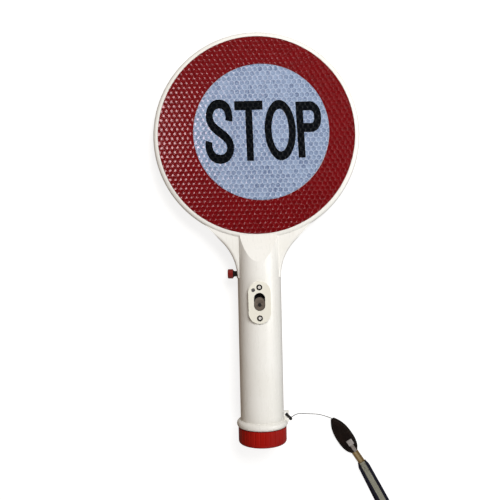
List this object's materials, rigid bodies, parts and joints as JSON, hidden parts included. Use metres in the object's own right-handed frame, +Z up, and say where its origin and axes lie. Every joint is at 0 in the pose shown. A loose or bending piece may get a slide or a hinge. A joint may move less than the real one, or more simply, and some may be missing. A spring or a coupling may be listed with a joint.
{
  "type": "stop slow paddle",
  "caption": "Hand-held round stop and slow sign with reflective faces, lamps inside the head, a battery handle with a slide switch and push button, a screw end cap and a wrist lanyard",
  "frame": {"origin": "centre of the bottom of the paddle's bounding box, lanyard left out, as it lies on its back", "axes": "+Z up, out of the sign's front face; +Y along the handle from the end cap to the head; +X to the right of someone reading the front"},
  "size_m": [0.2464, 0.48, 0.0428],
  "materials": {
    "white_plastic": "glossy moulded white plastic",
    "red_sheet": "red retro-reflective sheet",
    "white_sheet": "white retro-reflective sheet",
    "black_ink": "screen-printed black",
    "cream_plastic": "glossy cream plastic",
    "red_plastic": "moulded red plastic",
    "black_plastic": "matte black plastic",
    "grey_plastic": "dark grey plastic",
    "steel": "zinc-plated steel",
    "brass": "plated brass",
    "board_green": "glass-fibre circuit board",
    "red_lens": "red moulded lamp",
    "smoke_lens": "dark moulded lamp",
    "wire_red": "insulated wire",
    "cell_wrap": "wrapped steel can",
    "seal_rubber": "soft rubber",
    "cord_black": "thin braided cord",
    "tab_leather": "black grained leather",
    "link_cloth": "golden-brown ribbon",
    "rivet_silver": "polished silver metal",
    "strap_cloth": "woven strap, navy-black with an olive-grey stripe"
  },
  "bodies": {
    "paddle": {"front_shell": "white_plastic", "rear_shell": "white_plastic", "front_red_ring": "red_sheet", "rear_red_ring": "red_sheet", "front_white_disc": "white_sheet", "rear_white_disc": "white_sheet", "front_stop_legend": "black_ink", "rear_slow_legend": "black_ink", "led_board": "board_green", "front_leds": "red_lens", "rear_leds": "red_lens", "led_leads": "wire_red", "battery_leads": "wire_red", "switch_plate": "cream_plastic", "plate_screws": "steel", "head_screws": "steel", "handle_screws": "steel", "indicator_led": "smoke_lens", "slide_switch_body": "black_plastic", "push_bush": "black_plastic", "push_nut": "steel", "push_body": "black_plastic", "control_board": "board_green", "buzzer": "black_plastic", "battery_cartridge": "black_plastic", "aaa_cells": "cell_wrap", "cartridge_contacts": "brass", "upper_contact": "brass", "ground_strip": "brass", "collar_ring": "white_plastic", "seal_ring": "seal_rubber", "cord_hitch": "cord_black", "lanyard_cord": "cord_black", "lanyard_tab": "tab_leather", "lanyard_link": "link_cloth", "tab_rivet": "rivet_silver", "lanyard_strap": "strap_cloth"},
    "button": {"push_cap": "red_plastic", "push_stem": "black_plastic", "button_spring": "steel"},
    "slider": {"switch_slider": "grey_plastic"},
    "cap_contact": {"contact_disc": "brass", "battery_spring": "steel"},
    "cap": {"end_cap": "red_plastic"}
  },
  "joints": [
    {"name": "button_press", "type": "slide", "parent": "paddle", "child": "button", "axis": [1, 0, 0], "range_m": [0, 0.002], "stiffness_N_per_m": 400, "springref_m": -0.002},
    {"name": "switch_slide", "type": "slide", "parent": "paddle", "child": "slider", "axis": [0, 0.999, -0.0458], "range_m": [0, 0.0032]},
    {"name": "cap_travel", "type": "slide", "parent": "paddle", "child": "cap_contact", "axis": [0, -0.999, 0.0458], "range_m": [0, 0.009]},
    {"name": "cap_turn", "type": "hinge", "parent": "cap_contact", "child": "cap", "pos_m": [0, -0.15959, 0.02351], "axis": [0, -0.999, 0.0458], "range_deg": [0, 1080]}
  ],
  "couplings": [
    {"joint": "cap_turn", "follows": "cap_travel", "rad_per_m": 2094.4}
  ]
}
